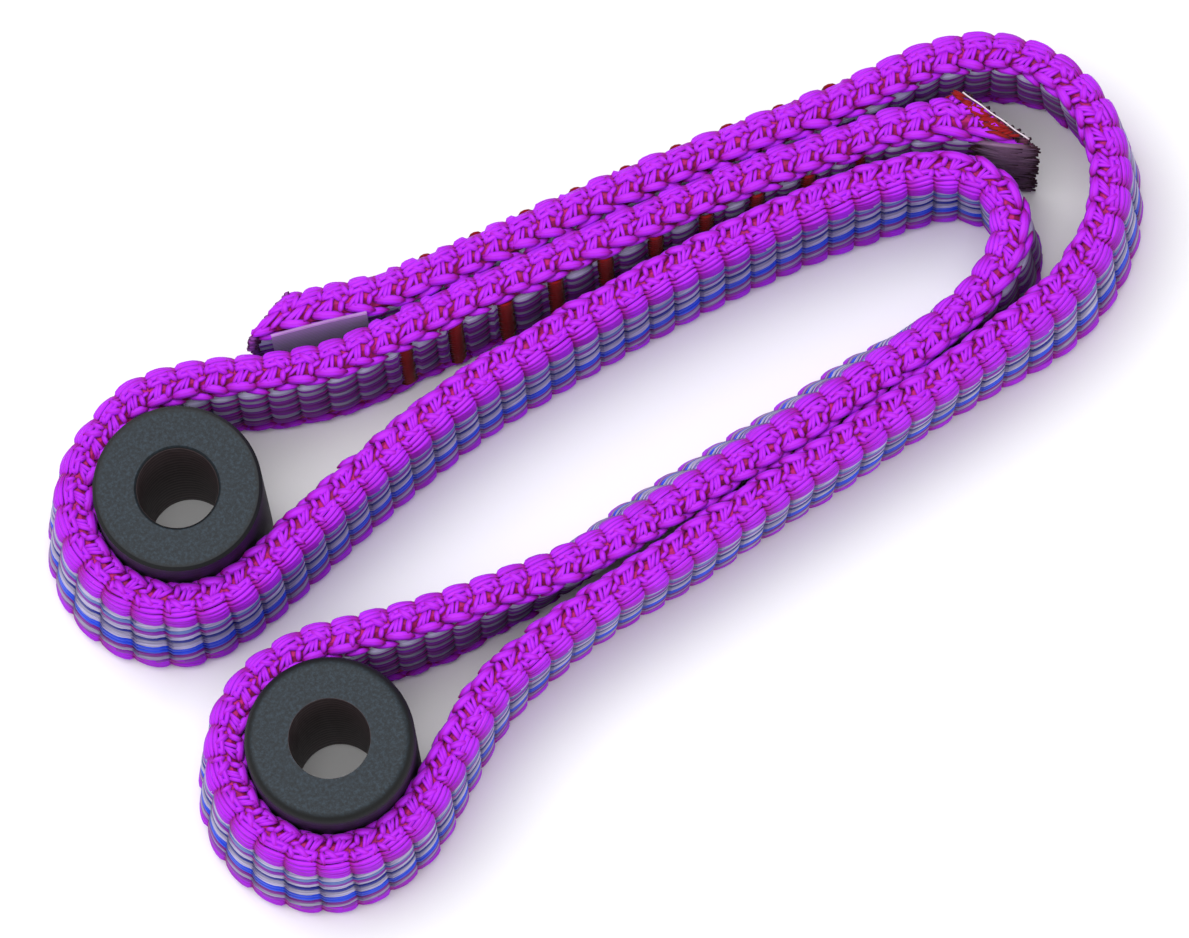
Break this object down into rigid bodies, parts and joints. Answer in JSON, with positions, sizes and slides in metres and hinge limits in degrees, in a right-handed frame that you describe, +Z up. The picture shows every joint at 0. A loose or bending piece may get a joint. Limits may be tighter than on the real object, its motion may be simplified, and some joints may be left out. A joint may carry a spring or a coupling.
{
  "type": "folded webbing sling with bushings",
  "caption": "Endless flat webbing sling, folded double and lying on its edge, with a plain bushing in each end loop and a bar-tacked lap along one arm.",
  "frame": {"origin": "on bushing A's bore axis, in the plane of the surface the sling stands on", "axes": "+Z up along both bores, +X along the arms from the bushings to the fold, bushing B in -Y"},
  "size_m": [0.1735, 0.0819, 0.031],
  "materials": {
    "webbing": "woven",
    "bushing": "matte",
    "thread": "sewn",
    "label": "satin"
  },
  "bodies": {
    "sling": {"webbing_strap": "webbing", "bar_tack_01": "thread", "bar_tack_02": "thread", "bar_tack_03": "thread", "bar_tack_04": "thread", "bar_tack_05": "thread", "bar_tack_06": "thread", "bar_tack_07": "thread", "bar_tack_08": "thread", "bar_tack_09": "thread", "bar_tack_10": "thread", "end_overcast": "thread", "label_tape": "label"},
    "bushing_a": {"bushing_a": "bushing"},
    "bushing_b": {"bushing_b": "bushing"}
  },
  "joints": [
    {"name": "bushing_a_turn", "type": "hinge", "parent": "sling", "child": "bushing_a", "pos_m": [0, 0, 0.0155], "axis": [0, 0, 1], "continuous": true},
    {"name": "bushing_b_turn", "type": "hinge", "parent": "sling", "child": "bushing_b", "pos_m": [0, -0.044, 0.0155], "axis": [0, 0, 1], "continuous": true}
  ]
}
